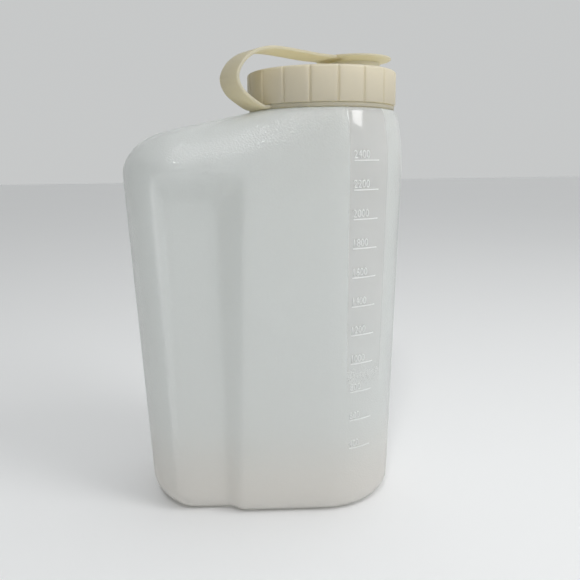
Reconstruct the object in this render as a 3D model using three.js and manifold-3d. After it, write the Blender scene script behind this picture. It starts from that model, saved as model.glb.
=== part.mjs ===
// Slim plastic pitcher with a screw lid and a strap-held spout cap.
// Millimetres, +Z up, +X towards the lid, origin under the middle of the bottle.
import * as THREE from 'three';
import { mergeVertices, toCreasedNormals } from 'three/addons/utils/BufferGeometryUtils.js';
import Module from 'manifold-3d';

const gap = 0.3; // clearance between neighbouring pieces

// Bottle: a long plan with a round front and back, drafted walls and a sloping shoulder
const wall = 1.5;
const bodyLength = 162; // at the height where the shoulder starts
const bodyWidth = 97.6;
const baseWidth = 86.4; // at the table
const baseBackX = -76.5;
const shoulderStartZ = 202;
const topBackRadius = 34; // of the upright back corners
const baseBackRadius = 42;
const baseFillet = 10;
const backFillet = 15;
const frontX = bodyLength / 2 - bodyWidth / 2; // centre of the round front

// Shoulder: rolls in from the walls and climbs to the neck
const neckX = 33.5;
const neckStepZ = 236;
const neckStepRadius = 41.4;
const neckRadius = 39;
const shoulderSlope = Math.tan(THREE.MathUtils.degToRad(12));
const backRoll = 22; // width of the roll over the back wall
const sideRoll = 27; // width of the roll over the side walls
const longestRoll = 0.85; // of the way to the neck
const leastSquareness = 0.3; // of the roll's run to the wall it leaves

// Grip: a drafted pocket in each side that runs down to the base
const gripBackX = -55.8;
const gripFrontX = -26.5;
const gripTopZ = 187;
const gripHalfGap = 38.2; // from the middle plane to the pocket floor
const gripBackDraft = 0.55; // sideways run per millimetre of depth
const gripFrontDraft = 1.43;
const gripTopDraft = 1.5;
const gripCorner = 7;
const gripCornerGrowth = 0.75; // per millimetre of depth
const gripReach = 14; // how far past the floor the pocket tool reaches
const gripOverrun = 5; // how far below the table the pocket tool reaches

// Screw lid
const lidRadius = 43.2;
const lidBottomZ = 238.7;
const lidTopZ = 257.4;
const lidPlate = 2.4;
const lidSkirt = 2.5;
const lidEdge = 1.6; // round of the upper edge
const lidFoot = 0.6; // chamfer of the lower edge
const panelCount = 18;
const lidTurn = THREE.MathUtils.degToRad(-2.4); // how far the lid is screwed round
const grooveDepth = 0.9;
const grooveHalfWidth = 1.1;

// Tether: ring under the lid, strap and spout cap in one piece
const ringRadius = 42.4;
const ringHeight = 2.1;
const strapAngle = THREE.MathUtils.degToRad(33); // from -X towards -Y
const strapWidth = 19;
const strapThickness = 1.8;
const capReach = 24.5; // from the lid's axis to the cap's axis
const capRadius = 22.5;
const capThickness = 2.4;
const capEdge = 0.7;
const capTopZ = 267.7;
const collarRadius = 16;
const collarRound = 0.8;
// Middle line of the strap from the ring to the cap: distance from the lid's axis, and height
const strapRoute = [
  [40.4, 237.35], [45.4, 237.35], [51.8, 240.35], [58.8, 245.55], [61.3, 252.15], [57.8, 259.35],
  [50.3, 264.95], [41.3, 267.6], [33.3, 268], [21.3, 267.4], [8, 266.6], [-2, 266.5], [-10, 266.5],
];

const frontSteps = 30;
const sideSteps = 8;
const cornerSteps = 9;
const backSteps = 4;
const filletSteps = 5;
const rollSteps = 6;
const slopeSteps = 3;
const circleSteps = 72;
const panelSteps = 4;
const cornerArcSteps = 6;
const edgeSteps = 3;
const strapSteps = 44;

const quarter = Math.PI / 2;
const weldDistance = 1e-5; // points closer than this are one
const creaseAngle = THREE.MathUtils.degToRad(25); // sharper edges are shaded sharp
const wasm = await Module();
wasm.setup();

function toManifold(geometry) {
  const bare = geometry.clone();
  bare.deleteAttribute('normal');
  bare.deleteAttribute('uv');
  const merged = mergeVertices(bare, weldDistance);
  return new wasm.Manifold(new wasm.Mesh({
    numProp: 3,
    vertProperties: new Float32Array(merged.attributes.position.array),
    triVerts: new Uint32Array(merged.index.array),
  }));
}

function toGeometry(manifold) {
  const mesh = manifold.getMesh();
  const geometry = new THREE.BufferGeometry();
  geometry.setAttribute('position', new THREE.BufferAttribute(new Float32Array(mesh.vertProperties), 3));
  geometry.setIndex(new THREE.BufferAttribute(new Uint32Array(mesh.triVerts), 1));
  return toCreasedNormals(geometry, creaseAngle);
}

// Closed skin over a stack of rings that run anticlockwise seen from their last end
function loft(rings) {
  const count = rings[0].length;
  const points = rings.flat();
  const triangles = [];
  for (let ring = 0; ring + 1 < rings.length; ring += 1) {
    for (let k = 0; k < count; k += 1) {
      const a = ring * count + k;
      const b = ring * count + ((k + 1) % count);
      triangles.push(a, b, b + count, a, b + count, a + count);
    }
  }
  const addCap = (start, flip) => {
    const middle = points.length;
    const centre = new THREE.Vector3();
    for (let k = 0; k < count; k += 1) centre.addScaledVector(points[start + k], 1 / count);
    points.push(centre);
    for (let k = 0; k < count; k += 1) {
      const a = start + k;
      const b = start + ((k + 1) % count);
      if (flip) triangles.push(middle, b, a);
      else triangles.push(middle, a, b);
    }
  };
  addCap(0, true);
  addCap((rings.length - 1) * count, false);
  return new THREE.BufferGeometry().setFromPoints(points).setIndex(triangles);
}

function circleRing(centreX, radius, z, steps = circleSteps) {
  return Array.from({ length: steps }, (_, k) => {
    const angle = (2 * Math.PI * k) / steps;
    return new THREE.Vector3(centreX + radius * Math.cos(angle), radius * Math.sin(angle), z);
  });
}

// Plan of the wall at a height, drawn in by a thickness: points and their inward directions
function planOutline(z, thickness) {
  const part = z / shoulderStartZ;
  const halfWidth = THREE.MathUtils.lerp(baseWidth, bodyWidth, part) / 2 - thickness;
  const backX = THREE.MathUtils.lerp(baseBackX, -bodyLength / 2, part) + thickness;
  const radius = THREE.MathUtils.lerp(baseBackRadius, topBackRadius, part) - thickness;
  const cornerX = backX + radius;
  const cornerY = halfWidth - radius;
  const outline = [];
  const place = (x, y, inwardX, inwardY) => {
    outline.push({ x, y, inward: new THREE.Vector2(inwardX, inwardY) });
  };
  const addArc = (x, y, size, from, to, steps) => {
    for (let step = 0; step <= steps; step += 1) {
      const angle = THREE.MathUtils.lerp(from, to, step / steps);
      place(x + size * Math.cos(angle), y + size * Math.sin(angle), -Math.cos(angle), -Math.sin(angle));
    }
  };
  const addSide = (side) => {
    const sweep = Math.atan((frontX - cornerX) / halfWidth);
    for (let count = 1; count < sideSteps; count += 1) {
      const step = side > 0 ? count : sideSteps - count;
      place(frontX - halfWidth * Math.tan((sweep * step) / sideSteps), side * halfWidth, 0, -side);
    }
  };
  addArc(frontX, 0, halfWidth, -quarter, quarter, frontSteps);
  addSide(1);
  addArc(cornerX, cornerY, radius, quarter, 2 * quarter, cornerSteps);
  for (let step = 1; step < backSteps; step += 1) {
    place(backX, cornerY * (1 - (2 * step) / backSteps), 1, 0);
  }
  addArc(cornerX, -cornerY, radius, 2 * quarter, 3 * quarter, cornerSteps);
  addSide(-1);
  return outline;
}

// Rings of the shoulder, from the top of the wall to a circle round the neck's axis
function shoulderRings(thickness, endRadius, endZ) {
  const rolls = planOutline(shoulderStartZ, thickness).map((point) => {
    const toNeck = new THREE.Vector2(neckX - point.x, -point.y);
    const distance = toNeck.length() - endRadius;
    const direction = toNeck.normalize();
    const squareness = Math.max(direction.dot(point.inward), leastSquareness);
    const rollWidth = THREE.MathUtils.lerp(backRoll, sideRoll, Math.abs(point.inward.y)) / squareness;
    const roll = Math.min(rollWidth, longestRoll * distance);
    return { point, direction, distance, roll };
  });
  const ringAt = (way, lift) => rolls.map(({ point, direction, distance, roll }) => {
    const run = way <= 1 ? roll * way : THREE.MathUtils.lerp(roll, distance, way - 1);
    const slopeZ = endZ - shoulderSlope * (distance - run);
    const rise = endZ - shoulderSlope * distance - shoulderStartZ;
    const z = slopeZ - rise * (1 - lift);
    return new THREE.Vector3(point.x + direction.x * run, point.y + direction.y * run, z);
  });
  const rings = [];
  for (let step = 0; step <= rollSteps; step += 1) {
    const angle = (quarter * step) / rollSteps;
    rings.push(ringAt(1 - Math.cos(angle), Math.sin(angle)));
  }
  for (let step = 1; step <= slopeSteps; step += 1) rings.push(ringAt(1 + step / slopeSteps, 1));
  return rings;
}

function neckRing(columns, radius, z) {
  return columns.map((point) => {
    const out = new THREE.Vector2(point.x - neckX, point.y).setLength(radius);
    return new THREE.Vector3(neckX + out.x, out.y, z);
  });
}

// How far a rounded base edge stands in from the wall at a height above its foot
function filletInset(radius, height) {
  return height < radius ? radius - Math.sqrt(radius ** 2 - (radius - height) ** 2) : 0;
}

// Rings of the base, whose rounded edge is larger towards the back
function baseRings(thickness) {
  const rings = [];
  for (let step = 0; step <= filletSteps; step += 1) {
    const height = (backFillet - thickness) * (1 - Math.cos((quarter * step) / filletSteps));
    const z = thickness + height;
    rings.push(planOutline(z, thickness).map(({ x, y, inward }) => {
      const radius = THREE.MathUtils.lerp(baseFillet, backFillet, Math.max(inward.x, 0)) - thickness;
      const inset = filletInset(radius, height);
      return new THREE.Vector3(x + inward.x * inset, y + inward.y * inset, z);
    }));
  }
  return rings;
}

// Bottle without its grips; a thickness draws the whole skin inwards
function bottleForm(thickness, topZ) {
  const inside = thickness > 0;
  const innerRadius = neckRadius - thickness;
  const endRadius = inside ? innerRadius : neckStepRadius;
  const rings = [...baseRings(thickness), ...shoulderRings(thickness, endRadius, neckStepZ - thickness)];
  const last = rings[rings.length - 1];
  if (!inside) rings.push(neckRing(last, neckRadius, neckStepZ));
  rings.push(neckRing(last, innerRadius, topZ));
  return toManifold(loft(rings));
}

// Plan corners of the pocket: floor and walls, moved into the bottle by an inset
function gripPlan(inset) {
  const shift = (draft) => (Math.hypot(1, draft) - draft) * inset;
  return {
    floorY: gripHalfGap - inset,
    backX: gripBackX - shift(gripBackDraft),
    frontX: gripFrontX + shift(gripFrontDraft),
    topZ: gripTopZ + shift(gripTopDraft),
  };
}

// Arched outline of the pocket at a distance outwards from its floor
function gripArch(plan, out, side) {
  const left = plan.backX - gripBackDraft * out;
  const right = plan.frontX + gripFrontDraft * out;
  const top = plan.topZ + gripTopDraft * out;
  const radius = gripCorner + gripCornerGrowth * out;
  const rightArc = new THREE.EllipseCurve(right - radius, top - radius, radius, radius, 0, quarter);
  const leftArc = new THREE.EllipseCurve(left + radius, top - radius, radius, radius, quarter, 2 * quarter);
  const outline = [
    new THREE.Vector2(left, -gripOverrun),
    new THREE.Vector2(right, -gripOverrun),
    ...rightArc.getPoints(cornerArcSteps),
    ...leftArc.getPoints(cornerArcSteps),
  ];
  const ring = outline.map((point) => new THREE.Vector3(point.x, side * (plan.floorY + out), point.y));
  return side < 0 ? ring.reverse() : ring;
}

// Foot of the pocket, where its walls follow the rounded base edge
function gripFoot(thickness, side) {
  const rings = [];
  const ringAt = (inset, z) => {
    const plan = gripPlan(inset);
    const out = gripReach + inset;
    const outline = [
      new THREE.Vector2(plan.frontX, plan.floorY),
      new THREE.Vector2(plan.backX, plan.floorY),
      new THREE.Vector2(plan.backX - gripBackDraft * out, plan.floorY + out),
      new THREE.Vector2(plan.frontX + gripFrontDraft * out, plan.floorY + out),
    ];
    const ring = outline.map((point) => new THREE.Vector3(point.x, side * point.y, z));
    return side < 0 ? ring : ring.reverse();
  };
  const radius = baseFillet - thickness;
  rings.push(ringAt(baseFillet, -gripOverrun));
  for (let step = 0; step <= filletSteps; step += 1) {
    const height = radius * (1 - Math.cos((quarter * step) / filletSteps));
    rings.push(ringAt(thickness + filletInset(radius, height), thickness + height));
  }
  return toManifold(loft(rings));
}

function cutGrips(form, thickness) {
  let cut = form;
  for (const side of [-1, 1]) {
    const plan = gripPlan(thickness);
    const pocket = loft([gripArch(plan, gripReach, side), gripArch(plan, 0, side)]);
    cut = cut.subtract(toManifold(pocket)).subtract(gripFoot(thickness, side));
  }
  return cut;
}

function makeBottle() {
  const neckTopZ = lidTopZ - lidPlate - gap;
  const outside = cutGrips(bottleForm(0, neckTopZ), 0);
  const inside = cutGrips(bottleForm(wall, neckTopZ + wall), wall);
  return toGeometry(outside.subtract(inside));
}

// Ring round the lid; the depth says how far its grooves cut in
function grooveRing(radius, depth, z) {
  const panelAngle = (2 * Math.PI) / panelCount;
  const edgeAngle = grooveHalfWidth / lidRadius;
  const ring = [];
  const place = (angle, distance) => {
    ring.push(new THREE.Vector3(neckX + distance * Math.cos(angle), distance * Math.sin(angle), z));
  };
  for (let panel = 0; panel < panelCount; panel += 1) {
    const start = lidTurn + panel * panelAngle;
    place(start, radius - depth);
    for (let step = 0; step <= panelSteps; step += 1) {
      place(start + THREE.MathUtils.lerp(edgeAngle, panelAngle - edgeAngle, step / panelSteps), radius);
    }
  }
  return ring;
}

function makeLid() {
  const rings = [
    grooveRing(lidRadius - lidFoot, grooveDepth, lidBottomZ),
    grooveRing(lidRadius, grooveDepth, lidBottomZ + lidFoot),
  ];
  for (let step = 0; step <= edgeSteps; step += 1) {
    const angle = (quarter * step) / edgeSteps;
    const radius = lidRadius - lidEdge * (1 - Math.cos(angle));
    const depth = grooveDepth * (1 - step / edgeSteps);
    rings.push(grooveRing(radius, depth, lidTopZ - lidEdge * (1 - Math.sin(angle))));
  }
  const shell = toManifold(loft(rings));
  const boreRadius = lidRadius - lidSkirt;
  const bore = toManifold(loft([
    circleRing(neckX, boreRadius, lidBottomZ - wall),
    circleRing(neckX, boreRadius, lidTopZ - lidPlate),
  ]));
  const collarTop = capTopZ - capThickness - gap;
  const profile = [
    new THREE.Vector2(0, lidTopZ - lidPlate / 2),
    new THREE.Vector2(collarRadius, lidTopZ - lidPlate / 2),
    new THREE.Vector2(collarRadius, collarTop - collarRound),
    new THREE.Vector2(collarRadius - collarRound, collarTop),
    new THREE.Vector2(0, collarTop),
  ];
  const collar = toManifold(spunAtCap(profile));
  return toGeometry(shell.subtract(bore).add(collar));
}

// Lathe about the spout cap's own upright axis
function spunAtCap(profile) {
  const geometry = new THREE.LatheGeometry(profile, circleSteps / 2);
  geometry.rotateX(quarter);
  geometry.translate(neckX + capReach * Math.cos(strapAngle), capReach * Math.sin(strapAngle), 0);
  return geometry;
}

// Flat band along the strap's middle line
function makeStrap() {
  const points = strapRoute.map(([reach, z]) => new THREE.Vector3(reach, z, 0));
  const line = new THREE.CatmullRomCurve3(points, false, 'centripetal');
  const half = strapThickness / 2;
  const outer = [];
  const inner = [];
  for (let step = 0; step <= strapSteps; step += 1) {
    const point = line.getPointAt(step / strapSteps);
    const along = line.getTangentAt(step / strapSteps);
    outer.push(new THREE.Vector2(point.x + along.y * half, point.y - along.x * half));
    inner.push(new THREE.Vector2(point.x - along.y * half, point.y + along.x * half));
  }
  const band = new THREE.Shape([...outer, ...inner.reverse()]);
  const geometry = new THREE.ExtrudeGeometry(band, { depth: strapWidth, bevelEnabled: false, steps: 1 });
  geometry.translate(0, 0, -strapWidth / 2);
  geometry.rotateX(quarter);
  geometry.rotateZ(Math.PI + strapAngle);
  geometry.translate(neckX, 0, 0);
  return geometry;
}

function makeTether() {
  const ringTop = lidBottomZ - gap;
  const ringBottom = ringTop - ringHeight;
  const ringOuter = toManifold(loft([
    circleRing(neckX, ringRadius, ringBottom),
    circleRing(neckX, ringRadius, ringTop),
  ]));
  const ringHole = toManifold(loft([
    circleRing(neckX, neckRadius + gap, ringBottom - wall),
    circleRing(neckX, neckRadius + gap, ringTop + wall),
  ]));
  const capBottom = capTopZ - capThickness;
  const cap = toManifold(spunAtCap([
    new THREE.Vector2(0, capBottom),
    new THREE.Vector2(capRadius - capEdge, capBottom),
    new THREE.Vector2(capRadius, capBottom + capEdge),
    new THREE.Vector2(capRadius, capTopZ - capEdge),
    new THREE.Vector2(capRadius - capEdge, capTopZ),
    new THREE.Vector2(0, capTopZ),
  ]));
  const band = toManifold(makeStrap());
  return toGeometry(ringOuter.add(band).subtract(ringHole).add(cap));
}

const milkyPlastic = new THREE.MeshStandardMaterial({ color: '#cdd0cc', roughness: 0.45, metalness: 0 });
const creamPlastic = new THREE.MeshStandardMaterial({ color: '#e6dcc0', roughness: 0.4, metalness: 0 });
const softCreamPlastic = new THREE.MeshStandardMaterial({ color: '#e3d9bb', roughness: 0.42, metalness: 0 });

const pitcher = new THREE.Group();
const addPiece = (name, geometry, material) => {
  const mesh = new THREE.Mesh(geometry, material);
  mesh.name = name;
  pitcher.add(mesh);
};
addPiece('bottle', makeBottle(), milkyPlastic);
addPiece('lid', makeLid(), creamPlastic);
addPiece('tether_cap', makeTether(), softCreamPlastic);

export default pitcher;
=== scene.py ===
import math

import bpy
from mathutils import Matrix, Quaternion, Vector


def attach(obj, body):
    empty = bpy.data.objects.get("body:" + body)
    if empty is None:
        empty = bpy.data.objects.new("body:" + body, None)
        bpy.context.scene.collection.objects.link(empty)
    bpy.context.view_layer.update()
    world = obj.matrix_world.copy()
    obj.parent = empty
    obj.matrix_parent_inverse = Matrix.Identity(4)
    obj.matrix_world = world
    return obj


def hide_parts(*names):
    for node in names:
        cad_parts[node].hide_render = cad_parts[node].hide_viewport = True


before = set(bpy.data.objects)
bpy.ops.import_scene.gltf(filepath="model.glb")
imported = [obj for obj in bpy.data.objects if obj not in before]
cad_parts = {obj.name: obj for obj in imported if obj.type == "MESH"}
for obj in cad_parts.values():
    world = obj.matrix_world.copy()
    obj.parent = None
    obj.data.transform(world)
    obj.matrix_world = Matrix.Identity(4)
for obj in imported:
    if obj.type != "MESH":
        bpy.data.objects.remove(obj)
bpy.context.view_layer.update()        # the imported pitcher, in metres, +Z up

# Sizes below are millimetres, and makeMesh turns them into metres
mm = 0.001
quarter = math.pi / 2
poleRadius = 0.01        # a turned shape ends in a tiny face at its axis
scene = bpy.context.scene
print("frame loaded:", len(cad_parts), "nodes")


# Small helpers

def blend(a, b, part):
    return a + (b - a) * part


def softMin(a, b, width):        # min with its corner rounded over a width
    overlap = max(width - abs(a - b), 0) / width
    return min(a, b) - overlap * overlap * width / 4


def softMax(a, b, width):
    return -softMin(-a, -b, width)


def makeMesh(name, points, faces):
    mesh = bpy.data.meshes.new(name)
    mesh.from_pydata([Vector(point) * mm for point in points], [], faces)
    mesh.shade_smooth()
    return mesh


def makePiece(name, mesh):
    piece = bpy.data.objects.new(name, mesh)
    scene.collection.objects.link(piece)
    return piece


def bandFaces(rings, columns):        # quads between closed rings of points, stacked in order
    faces = []
    for ring in range(rings - 1):
        for column in range(columns):
            a = ring * columns + column
            b = ring * columns + (column + 1) % columns
            faces.append((a, b, b + columns, a + columns))
    return faces


def spinProfile(profile, centreX, centreY, steps):        # turns (radius, z) points about an upright axis
    points = []
    for radius, z in profile:
        for step in range(steps):
            angle = 2 * math.pi * step / steps
            points.append((centreX + radius * math.cos(angle), centreY + radius * math.sin(angle), z))
    faces = bandFaces(len(profile), steps)
    if profile[0] != profile[-1]:        # a profile that closes on itself has no ends
        faces.append(tuple(reversed(range(steps))))
        faces.append(tuple(range(len(points) - steps, len(points))))
    return points, faces


def arcPoints(centreR, centreZ, radius, fromAngle, toAngle, steps):        # quarter rounds of a profile
    points = []
    for step in range(steps + 1):
        angle = blend(fromAngle, toAngle, step / steps)
        points.append((centreR + radius * math.cos(angle), centreZ + radius * math.sin(angle)))
    return points


def takeMesh(holder):        # plain mesh of what an object evaluates to
    made = holder.evaluated_get(bpy.context.evaluated_depsgraph_get())
    return bpy.data.meshes.new_from_object(made)


# Node helpers

def addMath(tree, operation, first, second=None):        # each operand is a number or a socket
    node = tree.nodes.new("ShaderNodeMath")
    node.operation = operation
    for value, socket in ((first, node.inputs[0]), (second, node.inputs[1])):
        if isinstance(value, (int, float)):
            socket.default_value = value
        elif value is not None:
            tree.links.new(value, socket)
    return node.outputs["Value"]


def newTree(name, inputs):
    tree = bpy.data.node_groups.new(name, "GeometryNodeTree")
    tree.interface.new_socket("Geometry", in_out="INPUT", socket_type="NodeSocketGeometry")
    for label, kind in inputs:
        tree.interface.new_socket(label, in_out="INPUT", socket_type=kind)
    tree.interface.new_socket("Geometry", in_out="OUTPUT", socket_type="NodeSocketGeometry")
    return tree, tree.nodes.new("NodeGroupInput"), tree.nodes.new("NodeGroupOutput")


def endTree(tree, source, target, geometry):        # realize, give the finish, put out
    realize = tree.nodes.new("GeometryNodeRealizeInstances")
    finish = tree.nodes.new("GeometryNodeSetMaterial")
    tree.links.new(geometry, realize.inputs["Geometry"])
    tree.links.new(realize.outputs["Geometry"], finish.inputs["Geometry"])
    tree.links.new(source.outputs["Finish"], finish.inputs["Material"])
    tree.links.new(finish.outputs["Geometry"], target.inputs["Geometry"])


def bakeTree(holder, tree, values):        # plain mesh of what a tree makes from a holder object
    modifier = holder.modifiers.new(tree.name, "NODES")
    modifier.node_group = tree
    for item in tree.interface.items_tree:
        if item.in_out == "INPUT" and item.name in values:
            modifier[item.identifier] = values[item.name]
    mesh = takeMesh(holder)
    holder.modifiers.remove(modifier)
    bpy.data.objects.remove(holder)
    return mesh


# Finishes

noiseDetail = {"Grain": 3, "Blotch": 2}


def makeGrainGroup():        # moulded plastic: fine grain, and faint large blotches
    group = bpy.data.node_groups.new("mouldedGrain", "ShaderNodeTree")
    for result in noiseDetail:
        group.interface.new_socket(result + " Scale", in_out="INPUT", socket_type="NodeSocketFloat")
        group.interface.new_socket(result, in_out="OUTPUT", socket_type="NodeSocketFloat")
    source = group.nodes.new("NodeGroupInput")
    target = group.nodes.new("NodeGroupOutput")
    place = group.nodes.new("ShaderNodeTexCoord")
    for result, detail in noiseDetail.items():
        noise = group.nodes.new("ShaderNodeTexNoise")
        noise.inputs["Detail"].default_value = detail
        group.links.new(place.outputs["Object"], noise.inputs["Vector"])
        group.links.new(source.outputs[result + " Scale"], noise.inputs["Scale"])
        group.links.new(noise.outputs["Fac"], target.inputs[result])
    return group


mouldedGrain = makeGrainGroup()


def newFinish(name):
    finish = bpy.data.materials.new(name)
    finish.use_nodes = True
    return finish, finish.node_tree, finish.node_tree.nodes["Principled BSDF"]


def addGrain(tree, grainScale, blotchScale):
    grain = tree.nodes.new("ShaderNodeGroup")
    grain.node_tree = mouldedGrain
    grain.inputs["Grain Scale"].default_value = grainScale
    grain.inputs["Blotch Scale"].default_value = blotchScale
    return grain


def addColourBlend(tree, factor, first, second):
    mixer = tree.nodes.new("ShaderNodeMix")
    mixer.data_type = "RGBA"
    for colour, socket in ((first, mixer.inputs["A"]), (second, mixer.inputs["B"])):
        if isinstance(colour, tuple):
            socket.default_value = (*colour, 1)
        else:
            tree.links.new(colour, socket)
    tree.links.new(factor, mixer.inputs["Factor"])
    return mixer.outputs["Result"]


def addRange(tree, value, low, high):        # spreads a 0 to 1 value over a range
    spread = tree.nodes.new("ShaderNodeMapRange")
    spread.inputs["To Min"].default_value = low
    spread.inputs["To Max"].default_value = high
    tree.links.new(value, spread.inputs["Value"])
    return spread.outputs["Result"]


milkyLook = {
    "colour": (0.96, 0.975, 0.967), "blotchColour": (0.97, 0.982, 0.975),
    "paintedFootLight": (0.985, 0.968, 0.942), "footZ": 0.012, "footFade": 0.05,        # metres: a warmer foot, painted warm light standing for light bounced up from the floor through the wall
    "transmission": 0.55, "ior": 1.45, "soak": 0.42, "gloss": 1.0, "glossRoughness": 0.08,
    "pebbleScale": 1000, "pebbleHeight": 0.00011, "sparkleHeight": 0.00021, "pebbleRoughness": 0.34,
    # the strip's colour is darker than the wall's: painted shade
    "paintedStripShade": (0.91, 0.905, 0.90), "stripRoughness": 0.14, "roughnessSpread": 0.05,
    "grainScale": 2600, "blotchScale": 22,
    # the base's warm tint is partly painted warm light, standing for light bounced up from the floor; the
    # rest is the thick base's own milky colour
    "baseColour": (0.975, 0.945, 0.895), "baseBlotch": (0.98, 0.955, 0.91), "baseRoughness": 0.4,
    "markColour": (0.95, 0.965, 0.955), "markBlotch": (0.97, 0.98, 0.975), "markRoughness": 0.3,
    "markSoak": 0.25,
}


def addSoak(tree, shader, colour, share):        # lets a share of the light soak through the plastic
    glow = tree.nodes.new("ShaderNodeBsdfTranslucent")
    both = tree.nodes.new("ShaderNodeMixShader")
    both.inputs["Fac"].default_value = share
    if isinstance(colour, tuple):
        glow.inputs["Color"].default_value = (*colour, 1)
    else:
        tree.links.new(colour, glow.inputs["Color"])
    tree.links.new(shader.outputs["BSDF"], both.inputs[1])
    tree.links.new(glow.outputs["BSDF"], both.inputs[2])
    tree.links.new(both.outputs["Shader"], tree.nodes["Material Output"].inputs["Surface"])


def makeMilkyPlastic():        # pebbled milky wall, smooth where the strip attribute is 1
    look = milkyLook
    finish, tree, shader = newFinish("milkyPlastic")
    shader.inputs["Transmission Weight"].default_value = look["transmission"]
    shader.inputs["IOR"].default_value = look["ior"]
    grain = addGrain(tree, look["grainScale"], look["blotchScale"])
    shader.inputs["Coat Weight"].default_value = look["gloss"]
    shader.inputs["Coat Roughness"].default_value = look["glossRoughness"]
    place = tree.nodes.new("ShaderNodeTexCoord")
    height = tree.nodes.new("ShaderNodeSeparateXYZ")
    tree.links.new(place.outputs["Object"], height.inputs["Vector"])
    # painted light: the wall turns warmer towards the foot, standing for light bounced up from the floor
    foot = tree.nodes.new("ShaderNodeMapRange")
    foot.interpolation_type = "SMOOTHSTEP"
    foot.inputs["From Min"].default_value = look["footZ"]
    foot.inputs["From Max"].default_value = look["footZ"] + look["footFade"]
    tree.links.new(height.outputs["Z"], foot.inputs["Value"])
    plain = addColourBlend(tree, grain.outputs["Blotch"], look["colour"], look["blotchColour"])
    strip = tree.nodes.new("ShaderNodeAttribute")
    strip.attribute_name = "smoothStrip"
    # the smooth strip takes its painted shade colour
    wall = addColourBlend(tree, strip.outputs["Fac"], plain, look["paintedStripShade"])
    colour = addColourBlend(tree, foot.outputs["Result"], look["paintedFootLight"], wall)
    tree.links.new(colour, shader.inputs["Base Color"])
    pebble = tree.nodes.new("ShaderNodeTexVoronoi")
    pebble.feature = "F1"
    pebble.inputs["Scale"].default_value = look["pebbleScale"]
    tree.links.new(place.outputs["Object"], pebble.inputs["Vector"])
    pebbled = addMath(tree, "SUBTRACT", 1.0, strip.outputs["Fac"])
    relief = addMath(tree, "MULTIPLY", pebble.outputs["Distance"], pebbled)
    for depth, socket in (("pebbleHeight", "Normal"), ("sparkleHeight", "Coat Normal")):
        bump = tree.nodes.new("ShaderNodeBump")
        bump.inputs["Distance"].default_value = look[depth]
        tree.links.new(relief, bump.inputs["Height"])
        tree.links.new(bump.outputs["Normal"], shader.inputs[socket])
    base = addRange(tree, strip.outputs["Fac"], look["pebbleRoughness"], look["stripRoughness"])
    spread = addRange(tree, grain.outputs["Grain"], -look["roughnessSpread"], look["roughnessSpread"])
    tree.links.new(addMath(tree, "ADD", base, spread), shader.inputs["Roughness"])
    addSoak(tree, shader, colour, look["soak"])
    return finish


def makeThickMilky(name, part, soak):        # the base and the raised marks let less light through
    look = milkyLook
    finish, tree, shader = newFinish(name)
    grain = addGrain(tree, look["grainScale"], look["blotchScale"])
    colour = addColourBlend(tree, grain.outputs["Blotch"], look[part + "Colour"], look[part + "Blotch"])
    tree.links.new(colour, shader.inputs["Base Color"])
    low = look[part + "Roughness"] - look["roughnessSpread"]
    high = look[part + "Roughness"] + look["roughnessSpread"]
    tree.links.new(addRange(tree, grain.outputs["Grain"], low, high), shader.inputs["Roughness"])
    if soak > 0:
        addSoak(tree, shader, colour, soak)
    return finish


creamLook = {
    "creamPlastic": {
        "colour": (0.78, 0.735, 0.625), "blotchColour": (0.805, 0.765, 0.66), "glow": (0.99, 0.91, 0.66),
        "roughness": 0.36, "soak": 0.38},
    # the collar's cream is a lightened copy of the lid's: painted light against the shade under the cap
    "collarPaintedLightCream": {
        "colour": (0.95, 0.94, 0.86), "blotchColour": (0.96, 0.95, 0.88), "glow": (0.98, 0.95, 0.82),
        "roughness": 0.36, "soak": 0.5},
    "softCreamPlastic": {
        "colour": (0.62, 0.605, 0.565), "blotchColour": (0.65, 0.635, 0.60), "glow": (1.0, 0.94, 0.70),
        "roughness": 0.42, "soak": 0.52},
    "grainScale": 1500, "blotchScale": 45, "grainHeight": 0.00003, "roughnessSpread": 0.07,
}


def makeCreamPlastic(name):        # finely grained cream, yellower where light comes through
    look = creamLook[name]
    finish, tree, shader = newFinish(name)
    grain = addGrain(tree, creamLook["grainScale"], creamLook["blotchScale"])
    colour = addColourBlend(tree, grain.outputs["Blotch"], look["colour"], look["blotchColour"])
    tree.links.new(colour, shader.inputs["Base Color"])
    low = look["roughness"] - creamLook["roughnessSpread"]
    high = look["roughness"] + creamLook["roughnessSpread"]
    tree.links.new(addRange(tree, grain.outputs["Blotch"], low, high), shader.inputs["Roughness"])
    bump = tree.nodes.new("ShaderNodeBump")
    bump.inputs["Distance"].default_value = creamLook["grainHeight"]
    tree.links.new(grain.outputs["Grain"], bump.inputs["Height"])
    tree.links.new(bump.outputs["Normal"], shader.inputs["Normal"])
    addSoak(tree, shader, look["glow"], look["soak"])
    return finish


milkyPlastic = makeMilkyPlastic()
milkyBase = makeThickMilky("milkyBase", "base", 0)
milkyMarks = makeThickMilky("milkyMarks", "mark", milkyLook["markSoak"])
creamPlastic = makeCreamPlastic("creamPlastic")
collarPaintedLightCream = makeCreamPlastic("collarPaintedLightCream")
softCreamPlastic = makeCreamPlastic("softCreamPlastic")
print("finishes made")


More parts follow.
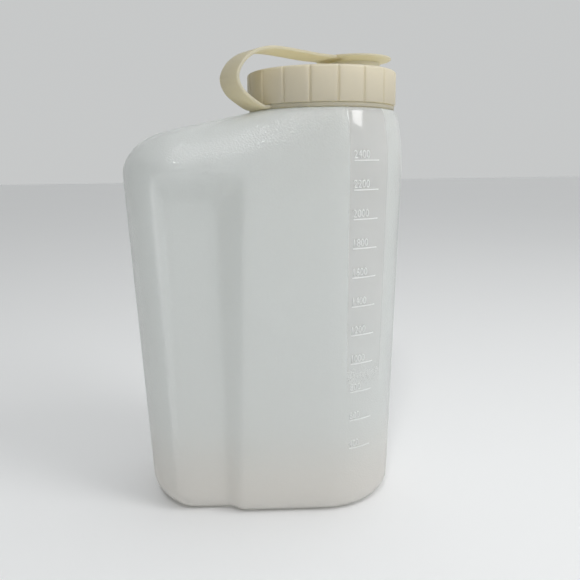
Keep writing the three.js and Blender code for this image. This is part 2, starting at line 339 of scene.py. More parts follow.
# Bottle: one thin milky shell with a grip pressed into each side and a smooth strip for the scale
bottle = {
    "wall": 1.5, "length": 162, "width": 97.6, "baseWidth": 86.4, "baseBackX": -76.5,
    "shoulderZ": 202, "topBackRadius": 34, "baseBackRadius": 42, "baseFillet": 10, "backFillet": 15,
    "neckX": 33.5, "neckStepZ": 236, "neckStepRadius": 41.4, "neckRadius": 39, "neckTopZ": 254.7,
    "shoulderSlope": math.tan(math.radians(12)), "backRoll": 22, "sideRoll": 27,
    "longestRoll": 0.85, "leastSquareness": 0.3,
    "frontSteps": 90, "sideSteps": 60, "cornerSteps": 46, "backSteps": 8,
    "filletSteps": 10, "wallSteps": 64, "rollSteps": 18, "slopeSteps": 12, "neckSteps": 3,
    "sharpAngle": 50,
}
grip = {
    "backX": -55.8, "frontX": -26.5, "topZ": 187, "halfGap": 38.2,
    "backDraft": 0.55, "frontDraft": 1.43, "topDraft": 1.5,        # sideways run per millimetre of depth
    "floorRound": 1.5, "archRound": 4, "frontRound": 1.5, "backRound": 3.2,
}
# the strip's angles are degrees round the front from -Y, and it fades out towards the foot
strip = {"fromAngle": 15, "toAngle": 46, "edgeAngle": 0.8, "rise": 0.03, "footZ": 60, "footFade": 80}
frontX = (bottle["length"] - bottle["width"]) / 2        # centre of the round front


def frontAngles():        # angles from +X, with a pair at each edge of the strip
    edges = [strip["fromAngle"] - 90, strip["toAngle"] - 90]
    half = strip["edgeAngle"] / 2
    spacing = 180 / bottle["frontSteps"]
    angles = [-90 + spacing * step for step in range(bottle["frontSteps"] + 1)]
    angles = [angle for angle in angles if min(abs(angle - edge) for edge in edges) > spacing / 2]
    for edge in edges:
        angles += [edge - half, edge + half]
    return [math.radians(angle) for angle in sorted(angles)]


def wallOutline(z, thickness):        # plan at a height: x, y and the inward direction
    part = z / bottle["shoulderZ"]
    halfWidth = blend(bottle["baseWidth"], bottle["width"], part) / 2 - thickness
    backX = blend(bottle["baseBackX"], -bottle["length"] / 2, part) + thickness
    radius = blend(bottle["baseBackRadius"], bottle["topBackRadius"], part) - thickness
    cornerX = backX + radius
    cornerY = halfWidth - radius
    outline = []

    def addArc(x, y, size, angles):
        for angle in angles:
            way = (math.cos(angle), math.sin(angle))
            outline.append((x + size * way[0], y + size * way[1], -way[0], -way[1]))

    def addSide(side, fromX, toX):
        for step in range(1, bottle["sideSteps"]):
            outline.append((blend(fromX, toX, step / bottle["sideSteps"]), side * halfWidth, 0, -side))

    turns = [quarter * step / bottle["cornerSteps"] for step in range(bottle["cornerSteps"] + 1)]
    addArc(frontX, 0, halfWidth, frontAngles())
    addSide(1, frontX, cornerX)
    addArc(cornerX, cornerY, radius, [quarter + turn for turn in turns])
    for step in range(1, bottle["backSteps"]):
        outline.append((backX, cornerY * (1 - 2 * step / bottle["backSteps"]), 1, 0))
    addArc(cornerX, -cornerY, radius, [2 * quarter + turn for turn in turns])
    addSide(-1, cornerX, frontX)
    return outline


def filletInset(radius, height):        # how far a rounded base edge stands in from the wall
    return radius - math.sqrt(radius ** 2 - (radius - height) ** 2) if height < radius else 0


def baseRings(thickness):        # the base edge is rounder towards the back
    rings = []
    for step in range(bottle["filletSteps"] + 1):
        height = (bottle["backFillet"] - thickness) * (1 - math.cos(quarter * step / bottle["filletSteps"]))
        ring = []
        for x, y, inX, inY in wallOutline(thickness + height, thickness):
            radius = blend(bottle["baseFillet"], bottle["backFillet"], max(inX, 0)) - thickness
            inset = filletInset(radius, height)
            ring.append((x + inX * inset, y + inY * inset, thickness + height))
        rings.append(ring)
    return rings


def wallRings(thickness):
    rings = []
    for step in range(1, bottle["wallSteps"]):
        z = blend(bottle["backFillet"], bottle["shoulderZ"], step / bottle["wallSteps"])
        rings.append([(x, y, z) for x, y, inX, inY in wallOutline(z, thickness)])
    return rings


def shoulderRings(thickness, endRadius, endZ):        # roll in from the wall, then climb to the neck
    rolls = []
    for x, y, inX, inY in wallOutline(bottle["shoulderZ"], thickness):
        toNeck = Vector((bottle["neckX"] - x, -y))
        distance = toNeck.length - endRadius
        way = toNeck.normalized()
        squareness = max(way.x * inX + way.y * inY, bottle["leastSquareness"])
        width = blend(bottle["backRoll"], bottle["sideRoll"], abs(inY)) / squareness
        rolls.append((x, y, way, distance, min(width, bottle["longestRoll"] * distance)))

    def ringAt(part, lift):
        ring = []
        for x, y, way, distance, roll in rolls:
            run = roll * part if part <= 1 else blend(roll, distance, part - 1)
            rise = endZ - bottle["shoulderSlope"] * distance - bottle["shoulderZ"]
            z = endZ - bottle["shoulderSlope"] * (distance - run) - rise * (1 - lift)
            ring.append((x + way.x * run, y + way.y * run, z))
        return ring

    turns = [quarter * step / bottle["rollSteps"] for step in range(bottle["rollSteps"] + 1)]
    rings = [ringAt(1 - math.cos(turn), math.sin(turn)) for turn in turns]
    rings += [ringAt(1 + step / bottle["slopeSteps"], 1) for step in range(1, bottle["slopeSteps"] + 1)]
    return rings


def neckRing(columns, radius, z):
    ring = []
    for x, y, oldZ in columns:
        out = Vector((x - bottle["neckX"], y)).normalized() * radius
        ring.append((bottle["neckX"] + out.x, out.y, z))
    return ring


def pressGrip(point, thickness):        # draws a side wall in to the grip's floor and drafted walls
    x, y, z = point
    inset = thickness + filletInset(bottle["baseFillet"] - thickness, z - thickness)
    drafts = ("backDraft", "frontDraft", "topDraft")
    shift = {key: (math.hypot(1, grip[key]) - grip[key]) * inset for key in drafts}
    floor = grip["halfGap"] - inset
    back = floor + (grip["backX"] - shift["backDraft"] - x) / grip["backDraft"]
    front = floor + (x - grip["frontX"] - shift["frontDraft"]) / grip["frontDraft"]
    top = floor + (z - grip["topZ"] - shift["topDraft"]) / grip["topDraft"]
    walls = softMax(max(back, front), top, grip["archRound"])
    limit = softMax(floor, walls, grip["floorRound"])
    across = min(max((grip["frontX"] - x) / (grip["frontX"] - grip["backX"]), 0), 1)
    edge = blend(grip["frontRound"], grip["backRound"], across)
    return (x, math.copysign(softMin(abs(y), limit, edge), y), z)


def raiseStrip(rings):        # lifts the strip's columns off the wall, and returns each point's share of it
    columns = len(rings[0])
    edges = [math.radians(strip["fromAngle"] - 90), math.radians(strip["toAngle"] - 90)]
    inStrip = [edges[0] < angle < edges[1] for angle in frontAngles()]
    shares = []
    raised = [list(ring) for ring in rings]
    for row, ring in enumerate(rings):
        for column in range(columns):
            inside = column < len(inStrip) and inStrip[column]
            share = 0
            if inside and 0 < row < len(rings) - 1:
                share = min(max((ring[column][2] - strip["footZ"]) / strip["footFade"], 0), 1)
                along = Vector(ring[column + 1]) - Vector(ring[column - 1])
                up = Vector(rings[row + 1][column]) - Vector(rings[row - 1][column])
                out = along.cross(up).normalized()
                raised[row][column] = Vector(ring[column]) + out * strip["rise"] * share
            shares.append(share)
    return raised, shares


def makeBottleShell():
    wall = bottle["wall"]
    innerRadius = bottle["neckRadius"] - wall
    outer = baseRings(0) + wallRings(0)
    outer += shoulderRings(0, bottle["neckStepRadius"], bottle["neckStepZ"])
    outer = [[pressGrip(point, 0) for point in ring] for ring in outer]
    outer, shares = raiseStrip(outer)
    inner = baseRings(wall) + wallRings(wall)
    inner += shoulderRings(wall, innerRadius, bottle["neckStepZ"] - wall)
    inner = [[pressGrip(point, wall) for point in ring] for ring in inner]
    rings = outer + [neckRing(outer[-1], bottle["neckRadius"], bottle["neckStepZ"])]
    for step in range(1, bottle["neckSteps"] + 1):
        z = blend(bottle["neckStepZ"], bottle["neckTopZ"], step / bottle["neckSteps"])
        rings.append(neckRing(outer[-1], bottle["neckRadius"], z))
    rings.append(neckRing(outer[-1], innerRadius, bottle["neckTopZ"]))
    rings += reversed(inner)
    columns = len(rings[0])
    faces = bandFaces(len(rings), columns)
    last = (len(rings) - 1) * columns
    faces.append(tuple(reversed(range(columns))))
    faces.append(tuple(range(last, last + columns)))
    points = [point for ring in rings for point in ring]
    mesh = makeMesh("bottleShell", points, faces)
    smooth = mesh.attributes.new("smoothStrip", "FLOAT", "POINT")
    smooth.data.foreach_set("value", shares + [0] * (len(points) - len(shares)))
    mesh.set_sharp_from_angle(angle=math.radians(bottle["sharpAngle"]))
    mesh.materials.append(milkyPlastic)
    mesh.materials.append(milkyBase)
    for face in mesh.polygons[-2:]:        # the base, outside and inside
        face.material_index = 1
    return makePiece("bottleShell", mesh)


bottleShell = makeBottleShell()
print("bottle shell made:", len(bottleShell.data.polygons), "faces")


# Scale: raised lines and plain numbers, laid out flat and wrapped onto the strip by Geometry Nodes
scaleMarks = {
    "firstValue": 400, "step": 200, "count": 11,        # millilitres
    "firstZ": 41.4, "spacing": 17.9, "spacingLoss": 0.27,        # the marks close up as the walls flare
    "wrapRadius": 46, "lineFrom": 18, "lineTo": 37, "numberFrom": 17.5,        # degrees round from -Y
    "lineHeight": 0.6, "lineSteps": 20,
    "numberSize": 6.2, "numberSqueeze": 0.78, "numberLift": 1.1, "curveSteps": 3,
    "rise": 0.25, "sink": 0.05, "weld": 0.002,
}


def markHeight(mark):
    lost = scaleMarks["spacingLoss"] * mark * (mark - 1) / 2
    return scaleMarks["firstZ"] + scaleMarks["spacing"] * mark - lost


def wayRound(angle):        # flat distance from the middle of the side to an angle round the front
    return math.radians(angle) * scaleMarks["wrapRadius"]


def flatNumbers():        # upright flat figures: x is the way round the front, z the height
    points = []
    faces = []
    squeeze = scaleMarks["numberSqueeze"]
    for mark in range(scaleMarks["count"]):
        curve = bpy.data.curves.new("figure", "FONT")
        curve.body = str(scaleMarks["firstValue"] + scaleMarks["step"] * mark)
        curve.size = scaleMarks["numberSize"]
        curve.resolution_u = scaleMarks["curveSteps"]
        holder = makePiece("figure", curve)
        figure = takeMesh(holder)
        x = wayRound(scaleMarks["numberFrom"])
        z = markHeight(mark) + scaleMarks["numberLift"]
        start = len(points)
        points += [(x + vertex.co.x * squeeze, 0, z + vertex.co.y) for vertex in figure.vertices]
        faces += [tuple(start + corner for corner in face.vertices) for face in figure.polygons]
        bpy.data.objects.remove(holder)
    return makeMesh("figures", points, faces)


def makeScaleTree():
    tree, source, target = newTree("scaleMarks", [
        ("Marks", "NodeSocketInt"), ("First Height", "NodeSocketFloat"),
        ("Spacing", "NodeSocketFloat"), ("Spacing Loss", "NodeSocketFloat"),
        ("Line Middle", "NodeSocketFloat"), ("Line Length", "NodeSocketFloat"),
        ("Line Height", "NodeSocketFloat"), ("Line Steps", "NodeSocketInt"),
        ("Wrap Radius", "NodeSocketFloat"), ("Axis", "NodeSocketVector"), ("Reach", "NodeSocketFloat"),
        ("Rise", "NodeSocketFloat"), ("Sink", "NodeSocketFloat"), ("Weld", "NodeSocketFloat"),
        ("Shell", "NodeSocketObject"), ("Finish", "NodeSocketMaterial")])
    link = tree.links.new
    add = tree.nodes.new

    def vectorMath(operation, first, second):
        node = add("ShaderNodeVectorMath")
        node.operation = operation
        link(first, node.inputs[0])
        link(second, node.inputs["Scale" if operation == "SCALE" else 1])
        return node.outputs["Vector"]

    def scalarMath(operation, first, second=None):
        return addMath(tree, operation, first, second)

    # one flat line, repeated up the scale
    points = add("GeometryNodeMeshLine")
    mark = add("GeometryNodeInputIndex").outputs["Index"]
    linePlace = add("ShaderNodeCombineXYZ")
    places = add("GeometryNodeSetPosition")
    bar = add("GeometryNodeMeshGrid")
    bar.inputs["Vertices Y"].default_value = 2
    upright = add("GeometryNodeTransform")
    upright.inputs["Rotation"].default_value = (quarter, 0, 0)
    lines = add("GeometryNodeInstanceOnPoints")
    flatLines = add("GeometryNodeRealizeInstances")
    link(source.outputs["Marks"], points.inputs["Count"])
    pairs = scalarMath("MULTIPLY", scalarMath("MULTIPLY", mark, scalarMath("SUBTRACT", mark, 1)), 0.5)
    rise = scalarMath("MULTIPLY", mark, source.outputs["Spacing"])
    loss = scalarMath("MULTIPLY", pairs, source.outputs["Spacing Loss"])
    lineHeight = scalarMath("ADD", source.outputs["First Height"], scalarMath("SUBTRACT", rise, loss))
    link(source.outputs["Line Middle"], linePlace.inputs["X"])
    link(lineHeight, linePlace.inputs["Z"])
    link(points.outputs["Mesh"], places.inputs["Geometry"])
    link(linePlace.outputs["Vector"], places.inputs["Position"])
    link(source.outputs["Line Length"], bar.inputs["Size X"])
    link(source.outputs["Line Height"], bar.inputs["Size Y"])
    link(source.outputs["Line Steps"], bar.inputs["Vertices X"])
    link(bar.outputs["Mesh"], upright.inputs["Geometry"])
    link(places.outputs["Geometry"], lines.inputs["Points"])
    link(upright.outputs["Geometry"], lines.inputs["Instance"])
    link(lines.outputs["Instances"], flatLines.inputs["Geometry"])
    flat = add("GeometryNodeJoinGeometry")
    link(source.outputs["Geometry"], flat.inputs["Geometry"])
    link(flatLines.outputs["Geometry"], flat.inputs["Geometry"])

    # x becomes an angle, and a ray from outside finds the shell there
    position = add("GeometryNodeInputPosition")
    parts = add("ShaderNodeSeparateXYZ")
    outward = add("ShaderNodeCombineXYZ")
    height = add("ShaderNodeCombineXYZ")
    link(position.outputs["Position"], parts.inputs["Vector"])
    angle = scalarMath("DIVIDE", parts.outputs["X"], source.outputs["Wrap Radius"])
    link(scalarMath("SINE", angle), outward.inputs["X"])
    link(scalarMath("MULTIPLY", scalarMath("COSINE", angle), -1), outward.inputs["Y"])
    link(parts.outputs["Z"], height.inputs["Z"])
    middle = vectorMath("ADD", source.outputs["Axis"], height.outputs["Vector"])
    reach = vectorMath("SCALE", outward.outputs["Vector"], source.outputs["Reach"])
    start = vectorMath("ADD", middle, reach)
    shell = add("GeometryNodeObjectInfo")
    ray = add("GeometryNodeRaycast")
    link(source.outputs["Shell"], shell.inputs["Object"])
    link(shell.outputs["Geometry"], ray.inputs["Target Geometry"])
    link(start, ray.inputs["Source Position"])
    link(vectorMath("SUBTRACT", middle, start), ray.inputs["Ray Direction"])
    sink = vectorMath("SCALE", outward.outputs["Vector"], source.outputs["Sink"])
    sunk = vectorMath("SUBTRACT", ray.outputs["Hit Position"], sink)
    wrap = add("GeometryNodeSetPosition")
    link(flat.outputs["Geometry"], wrap.inputs["Geometry"])
    link(sunk, wrap.inputs["Position"])

    # thicken outwards, and close the backs
    thicken = add("GeometryNodeExtrudeMesh")
    thicken.inputs["Individual"].default_value = False
    backs = add("GeometryNodeFlipFaces")
    closed = add("GeometryNodeJoinGeometry")
    weld = add("GeometryNodeMergeByDistance")
    link(source.outputs["Weld"], weld.inputs["Distance"])
    link(wrap.outputs["Geometry"], thicken.inputs["Mesh"])
    link(scalarMath("ADD", source.outputs["Rise"], source.outputs["Sink"]), thicken.inputs["Offset Scale"])
    link(wrap.outputs["Geometry"], backs.inputs["Mesh"])
    link(thicken.outputs["Mesh"], closed.inputs["Geometry"])
    link(backs.outputs["Mesh"], closed.inputs["Geometry"])
    link(closed.outputs["Geometry"], weld.inputs["Geometry"])
    endTree(tree, source, target, weld.outputs["Geometry"])
    return tree


def makeScale():
    lineFrom = wayRound(scaleMarks["lineFrom"])
    lineTo = wayRound(scaleMarks["lineTo"])
    mesh = bakeTree(makePiece("figures", flatNumbers()), makeScaleTree(), {
        "Marks": scaleMarks["count"], "First Height": scaleMarks["firstZ"] * mm,
        "Spacing": scaleMarks["spacing"] * mm, "Spacing Loss": scaleMarks["spacingLoss"] * mm,
        "Line Middle": (lineFrom + lineTo) / 2 * mm, "Line Length": (lineTo - lineFrom) * mm,
        "Line Height": scaleMarks["lineHeight"] * mm, "Line Steps": scaleMarks["lineSteps"],
        "Wrap Radius": scaleMarks["wrapRadius"] * mm, "Axis": (frontX * mm, 0, 0),
        "Reach": bottle["width"] * mm, "Rise": scaleMarks["rise"] * mm, "Sink": scaleMarks["sink"] * mm,
        "Weld": scaleMarks["weld"] * mm, "Shell": bottleShell, "Finish": milkyMarks})
    return makePiece("scaleFigures", mesh)


scaleFigures = makeScale()
print("scale made:", len(scaleFigures.data.polygons), "faces")


# Lid: one panel of the ribbed skirt, repeated round the lid's axis by Geometry Nodes
lid = {
    "radius": 43.2, "bottomZ": 238.7, "topZ": 257.4, "plate": 2.4, "skirt": 2.5, "edge": 1.6, "foot": 0.6,
    "panels": 18, "turn": -2.4, "grooveDepth": 0.9, "grooveHalfWidth": 1.1,
    "grooveSteps": 5, "panelSteps": 8, "edgeSteps": 6, "weld": 0.02,
    "collarRadius": 16, "collarTopZ": 265.0, "collarRound": 0.8, "collarFoot": 1.2,
    "collarSteps": 72, "collarArcSteps": 6,
}
cap = {
    "reach": 24.5, "angle": 33, "radius": 22.5, "thickness": 2.4, "topZ": 267.7,
    "rim": 1.4, "rimRun": 5, "edge": 0.6,        # the underside rises over the run to a thinner rim
    "edgeSteps": 6, "steps": 96,
}
capX = bottle["neckX"] + cap["reach"] * math.cos(math.radians(cap["angle"]))
capY = cap["reach"] * math.sin(math.radians(cap["angle"]))


def lidPanelMesh():        # wedge of the lid between the middles of two grooves, about the z axis
    panelAngle = 2 * math.pi / lid["panels"]
    grooveAngle = lid["grooveHalfWidth"] / lid["radius"]
    angles = []
    for step in range(lid["grooveSteps"]):
        angles.append(grooveAngle * step / lid["grooveSteps"])
    for step in range(lid["panelSteps"] + 1):
        angles.append(blend(grooveAngle, panelAngle - grooveAngle, step / lid["panelSteps"]))
    for step in range(1, lid["grooveSteps"] + 1):
        angles.append(panelAngle - grooveAngle * (1 - step / lid["grooveSteps"]))
    low = lid["bottomZ"]
    under = lid["topZ"] - lid["plate"]
    bore = lid["radius"] - lid["skirt"]
    inside = [(0, under, 0), (bore, under, 0), (bore, low, 0)]
    rise = [(lid["radius"] - lid["foot"], low, 1), (lid["radius"], low + lid["foot"], 1)]
    for step in range(lid["edgeSteps"] + 1):
        turn = quarter * step / lid["edgeSteps"]
        radius = lid["radius"] - lid["edge"] * (1 - math.cos(turn))
        rise.append((radius, lid["topZ"] - lid["edge"] * (1 - math.sin(turn)), 1 - step / lid["edgeSteps"]))
    profile = inside + rise + [(0, lid["topZ"], 0)]
    points = []
    for radius, z, share in profile:        # share is how much of the groove's depth reaches this row
        for angle in angles:
            away = min(angle, panelAngle - angle) / grooveAngle
            dip = lid["grooveDepth"] * share * (1 + math.cos(math.pi * away)) / 2 if away < 1 else 0
            points.append(((radius - dip) * math.cos(angle), (radius - dip) * math.sin(angle), z))
    columns = len(angles)
    faces = []
    for row in range(len(profile) - 1):
        for column in range(columns - 1):
            a = row * columns + column
            faces.append((a, a + 1, a + 1 + columns, a + columns))
    return makeMesh("lidPanel", points, faces)


def makeLidTree():
    tree, source, target = newTree("lidPanels", [
        ("Panels", "NodeSocketInt"), ("Turn", "NodeSocketFloat"), ("Axis X", "NodeSocketFloat"),
        ("Weld", "NodeSocketFloat"), ("Finish", "NodeSocketMaterial")])
    line = tree.nodes.new("GeometryNodeMeshLine")
    line.inputs["Offset"].default_value = (0, 0, 0)
    index = tree.nodes.new("GeometryNodeInputIndex")
    panelAngle = addMath(tree, "DIVIDE", 2 * math.pi, source.outputs["Panels"])
    fromFirst = addMath(tree, "MULTIPLY", index.outputs["Index"], panelAngle)
    angle = addMath(tree, "ADD", fromFirst, source.outputs["Turn"])
    rotation = tree.nodes.new("ShaderNodeCombineXYZ")
    copies = tree.nodes.new("GeometryNodeInstanceOnPoints")
    realize = tree.nodes.new("GeometryNodeRealizeInstances")
    weld = tree.nodes.new("GeometryNodeMergeByDistance")
    place = tree.nodes.new("ShaderNodeCombineXYZ")
    move = tree.nodes.new("GeometryNodeTransform")
    link = tree.links.new
    link(source.outputs["Panels"], line.inputs["Count"])
    link(angle, rotation.inputs["Z"])
    link(line.outputs["Mesh"], copies.inputs["Points"])
    link(source.outputs["Geometry"], copies.inputs["Instance"])
    link(rotation.outputs["Vector"], copies.inputs["Rotation"])
    link(copies.outputs["Instances"], realize.inputs["Geometry"])
    link(realize.outputs["Geometry"], weld.inputs["Geometry"])
    link(source.outputs["Weld"], weld.inputs["Distance"])
    link(source.outputs["Axis X"], place.inputs["X"])
    link(weld.outputs["Geometry"], move.inputs["Geometry"])
    link(place.outputs["Vector"], move.inputs["Translation"])
    endTree(tree, source, target, move.outputs["Geometry"])
    return tree


def collarMesh():        # round collar under the spout cap
    foot = lid["collarFoot"]
    lip = lid["collarRound"]
    radius = lid["collarRadius"]
    steps = lid["collarArcSteps"]
    under = lid["topZ"] - lid["plate"] / 2        # inside the lid's plate
    profile = [(poleRadius, under), (radius + foot, under)]
    profile += arcPoints(radius + foot, lid["topZ"] + foot, foot, -quarter, -2 * quarter, steps)
    profile += arcPoints(radius - lip, lid["collarTopZ"] - lip, lip, 0, quarter, steps)
    profile += [(poleRadius, lid["collarTopZ"])]
    points, faces = spinProfile(profile, capX, capY, lid["collarSteps"])
    return makeMesh("collar", points, faces)


sharpAngle = 45        # degrees: edges from here on stay sharp on the lid and the tether


def joinMeshes(name, parts):        # one piece from meshes and their finishes
    points = []
    faces = []
    slots = []
    finishes = []
    for mesh, finish in parts:
        start = len(points)
        points += [vertex.co / mm for vertex in mesh.vertices]
        faces += [tuple(start + corner for corner in face.vertices) for face in mesh.polygons]
        if finish not in finishes:
            finishes.append(finish)
        slots += [finishes.index(finish)] * len(mesh.polygons)
    joined = makeMesh(name, points, faces)
    joined.set_sharp_from_angle(angle=math.radians(sharpAngle))
    for finish in finishes:
        joined.materials.append(finish)
    joined.polygons.foreach_set("material_index", slots)
    return makePiece(name, joined)


def makeLidCap():
    holder = makePiece("lidPanel", lidPanelMesh())
    ribbed = bakeTree(holder, makeLidTree(), {
        "Panels": lid["panels"], "Turn": math.radians(lid["turn"]), "Axis X": bottle["neckX"] * mm,
        "Weld": lid["weld"] * mm, "Finish": creamPlastic})
    # the collar gets the lightened copy of the lid's cream, painted light
    return joinMeshes("lidCap", [(ribbed, creamPlastic), (collarMesh(), collarPaintedLightCream)])


lidCap = makeLidCap()
print("lid made:", len(lidCap.data.polygons), "faces")


# Tether: ring under the lid, flat strap along its route, and the spout cap, in one piece
tether = {
    "ringRadius": 42.4, "ringInner": 39.3, "ringBottomZ": 236.3, "ringTopZ": 238.4, "ringEdge": 0.5,
    "ringSteps": 144, "width": 19, "thickness": 1.8, "edge": 0.6, "edgeSteps": 5, "samples": 120,
    "route": [        # distance from the lid's axis, and height
        (40.4, 237.35), (45.4, 237.35), (51.8, 240.35), (58.8, 245.55), (61.3, 252.15), (57.8, 259.35),
        (50.3, 264.95), (41.3, 267.6), (33.3, 268), (21.3, 267.4), (8, 266.6), (-2, 266.5), (-10, 266.5)],
}


def routePoints(route, samples):        # centripetal curve through the route's points
    points = [Vector(point) for point in route]
    points = [points[0] * 2 - points[1]] + points + [points[-1] * 2 - points[-2]]
    spans = len(route) - 1
    curve = []
    for sample in range(samples + 1):
        place = min(sample / samples * spans, spans - 1e-6)        # the last sample stays in the last span
        span = int(place)
        p0, p1, p2, p3 = points[span:span + 4]
        t1 = math.sqrt((p1 - p0).length)
        t2 = t1 + math.sqrt((p2 - p1).length)
        t3 = t2 + math.sqrt((p3 - p2).length)
        t = blend(t1, t2, place - span)
        a1 = p0 * ((t1 - t) / t1) + p1 * (t / t1)
        a2 = p1 * ((t2 - t) / (t2 - t1)) + p2 * ((t - t1) / (t2 - t1))
        a3 = p2 * ((t3 - t) / (t3 - t2)) + p3 * ((t - t2) / (t3 - t2))
        b1 = a1 * ((t2 - t) / t2) + a2 * (t / t2)
        b2 = a2 * ((t3 - t) / (t3 - t1)) + a3 * ((t - t1) / (t3 - t1))
        curve.append(b1 * ((t2 - t) / (t2 - t1)) + b2 * ((t - t1) / (t2 - t1)))
    return curve


def strapPath():        # the strap's middle line in space, as a curve object
    away = Vector((-math.cos(math.radians(cap["angle"])), -math.sin(math.radians(cap["angle"])), 0))
    axis = Vector((bottle["neckX"], 0, 0))
    curve = bpy.data.curves.new("strapPath", "CURVE")
    curve.dimensions = "3D"
    places = routePoints(tether["route"], tether["samples"])
    spline = curve.splines.new("POLY")
    spline.points.add(len(places) - 1)
    for point, place in zip(spline.points, places):
        where = (axis + away * place.x + Vector((0, 0, place.y))) * mm
        point.co = (*where, 1)
    return makePiece("strapPath", curve)


def makeStrapTree():
    tree, source, target = newTree("flatStrap", [
        ("Width", "NodeSocketFloat"), ("Thickness", "NodeSocketFloat"), ("Edge", "NodeSocketFloat"),
        ("Edge Steps", "NodeSocketInt"), ("Finish", "NodeSocketMaterial")])
    section = tree.nodes.new("GeometryNodeCurvePrimitiveQuadrilateral")
    rounded = tree.nodes.new("GeometryNodeFilletCurve")
    rounded.mode = "POLY"
    sweep = tree.nodes.new("GeometryNodeCurveToMesh")
    sweep.inputs["Fill Caps"].default_value = True
    link = tree.links.new
    link(source.outputs["Width"], section.inputs["Width"])
    link(source.outputs["Thickness"], section.inputs["Height"])
    link(section.outputs["Curve"], rounded.inputs["Curve"])
    link(source.outputs["Edge"], rounded.inputs["Radius"])
    link(source.outputs["Edge Steps"], rounded.inputs["Count"])
    link(source.outputs["Geometry"], sweep.inputs["Curve"])
    link(rounded.outputs["Curve"], sweep.inputs["Profile Curve"])
    endTree(tree, source, target, sweep.outputs["Mesh"])
    return tree


def ringMesh():
    edge = tether["ringEdge"]
    steps = tether["edgeSteps"]
    outer = tether["ringRadius"]
    low = tether["ringBottomZ"]
    high = tether["ringTopZ"]
    profile = [(tether["ringInner"], high), (tether["ringInner"], low)]
    profile += arcPoints(outer - edge, low + edge, edge, -quarter, 0, steps)
    profile += arcPoints(outer - edge, high - edge, edge, 0, quarter, steps)
    profile.append(profile[0])
    points, faces = spinProfile(profile, bottle["neckX"], 0, tether["ringSteps"])
    return makeMesh("ring", points, faces)


def capMesh():        # spout cap: a disc with a thin rounded rim
    edge = cap["edge"]
    radius = cap["radius"]
    low = cap["topZ"] - cap["thickness"]
    rimLow = cap["topZ"] - cap["rim"]
    profile = [(poleRadius, low), (radius - cap["rimRun"], low)]
    profile += arcPoints(radius - edge, rimLow + edge, edge, -quarter, 0, cap["edgeSteps"])
    profile += arcPoints(radius - edge, cap["topZ"] - edge, edge, 0, quarter, cap["edgeSteps"])
    profile += [(poleRadius, cap["topZ"])]
    points, faces = spinProfile(profile, capX, capY, cap["steps"])
    return makeMesh("spoutCap", points, faces)


def makeTether():
    strap = bakeTree(strapPath(), makeStrapTree(), {
        "Width": tether["width"] * mm, "Thickness": tether["thickness"] * mm, "Edge": tether["edge"] * mm,
        "Edge Steps": tether["edgeSteps"], "Finish": softCreamPlastic})
    return joinMeshes("strapAndCap", [(mesh, softCreamPlastic) for mesh in (strap, ringMesh(), capMesh())])


strapAndCap = makeTether()
print("tether made:", len(strapAndCap.data.polygons), "faces")


# What each piece stands for
for piece, node, slot in (
        (bottleShell, "bottle", "milky_plastic"),
        (scaleFigures, None, "milky_plastic"),
        (lidCap, "lid", "cream_plastic"),
        (strapAndCap, "tether_cap", "soft_cream_plastic")):
    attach(piece, "root")
    if node:
        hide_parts(node)


# Floor, light and camera
studio = {
    "floorSize": 12.0, "floorColour": (0.88, 0.885, 0.89), "floorRoughness": 0.6,
    "floorGrain": 300, "floorBlotch": 3, "floorShade": 0.985,
    # the room's light by direction: 1 towards the bright side, 0 away from it
    "brightWay": (0.88, 0.47, 0), "backdrop": (0.57, 0.58, 0.58),
    "room": {
        0.0: (0.02, 0.02, 0.02), 0.12: (0.12, 0.12, 0.12), 0.27: (0.46, 0.47, 0.47),
        0.52: (0.595, 0.605, 0.605), 1.0: (0.86, 0.87, 0.87)},
    "aim": (0, 0, 0.13),
    # degrees round from the front towards +X, degrees up, metres away, width, height, degrees turned, watts
    "lights": {
        "key": (59, 40, 1.3, 0.3, 0.75, -27, 5.2),
        "top": (-8, 50, 1.2, 0.13, 0.13, 0, 3.0),
        "ceiling": (25, 75, 1.6, 1.2, 1.2, 0, 1.0),
    },
}


def makeFloor():
    half = studio["floorSize"] / 2
    mesh = bpy.data.meshes.new("floor")
    corners = [(-half, -half, 0), (half, -half, 0), (half, half, 0), (-half, half, 0)]
    mesh.from_pydata(corners, [], [(0, 1, 2, 3)])
    finish, tree, shader = newFinish("paleFloor")
    grain = addGrain(tree, studio["floorGrain"], studio["floorBlotch"])
    shade = tuple(part * studio["floorShade"] for part in studio["floorColour"])
    colour = addColourBlend(tree, grain.outputs["Blotch"], shade, studio["floorColour"])
    tree.links.new(colour, shader.inputs["Base Color"])
    shader.inputs["Roughness"].default_value = studio["floorRoughness"]
    mesh.materials.append(finish)
    makePiece("floor", mesh)


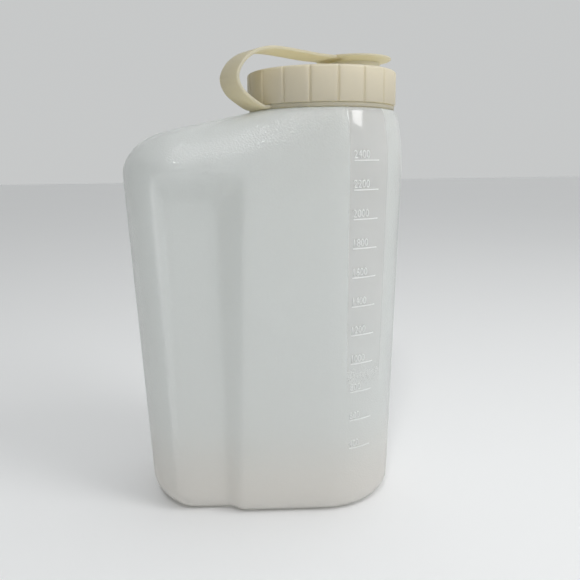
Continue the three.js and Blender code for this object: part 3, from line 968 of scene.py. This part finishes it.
def makeWorld():        # plain pale backdrop, and light that is brighter from one side
    world = bpy.data.worlds.new("paleWorld")
    world.use_nodes = True
    tree = world.node_tree
    way = tree.nodes.new("ShaderNodeTexCoord")
    toBright = tree.nodes.new("ShaderNodeVectorMath")
    toBright.operation = "DOT_PRODUCT"
    toBright.inputs[1].default_value = studio["brightWay"]
    side = tree.nodes.new("ShaderNodeMapRange")
    side.inputs["From Min"].default_value = -1
    tree.links.new(way.outputs["Generated"], toBright.inputs[0])
    tree.links.new(toBright.outputs["Value"], side.inputs["Value"])
    colours = tree.nodes.new("ShaderNodeValToRGB")
    stops = colours.color_ramp.elements
    for place, colour in studio["room"].items():
        if 0 < place < 1:
            stop = stops.new(place)
        else:
            stop = stops[0 if place == 0 else -1]
        stop.color = (*colour, 1)
    tree.links.new(side.outputs["Result"], colours.inputs["Fac"])
    ray = tree.nodes.new("ShaderNodeLightPath")
    seen = addColourBlend(tree, ray.outputs["Is Camera Ray"], colours.outputs["Color"], studio["backdrop"])
    tree.links.new(seen, tree.nodes["Background"].inputs["Color"])
    scene.world = world


def makeLights():
    for name, (around, up, away, width, height, turned, power) in studio["lights"].items():
        light = bpy.data.lights.new(name, "AREA")
        light.shape = "RECTANGLE"
        light.size = width
        light.size_y = height
        light.energy = power
        level = math.cos(math.radians(up))
        x = math.sin(math.radians(around)) * level
        y = -math.cos(math.radians(around)) * level
        way = Vector((x, y, math.sin(math.radians(up))))
        lamp = bpy.data.objects.new(name, light)
        lamp.location = Vector(studio["aim"]) + way * away
        turn = Quaternion((0, 0, 1), math.radians(turned))
        lamp.rotation_euler = ((-way).to_track_quat("-Z", "Y") @ turn).to_euler()
        scene.collection.objects.link(lamp)


photoView = {
    "place": (0.0033, -0.3717, 0.2089), "pitch": 12.1, "yaw": 1.59, "roll": 0.80,
    "focalPixels": 605.9, "imagePixels": 580, "sensor": 36, "nearest": 0.01,
}


def makeCamera():
    pitch = math.radians(photoView["pitch"])
    yaw = math.radians(photoView["yaw"])
    roll = math.radians(photoView["roll"])
    ahead = Vector((math.sin(yaw) * math.cos(pitch), math.cos(yaw) * math.cos(pitch), -math.sin(pitch)))
    right = Vector((math.cos(yaw), -math.sin(yaw), 0))
    up = right.cross(ahead)
    across = right * math.cos(roll) - up * math.sin(roll)
    upright = right * math.sin(roll) + up * math.cos(roll)
    lens = bpy.data.cameras.new("photoCamera")
    lens.sensor_width = photoView["sensor"]
    lens.lens = photoView["focalPixels"] / photoView["imagePixels"] * photoView["sensor"]
    lens.clip_start = photoView["nearest"]
    camera = bpy.data.objects.new("photoCamera", lens)
    turn = Matrix((across, upright, -ahead)).transposed()
    camera.matrix_world = Matrix.Translation(photoView["place"]) @ turn.to_4x4()
    scene.collection.objects.link(camera)
    scene.camera = camera


makeFloor()
makeWorld()
makeLights()
makeCamera()
scene.view_settings.view_transform = "Standard"
print("studio made")
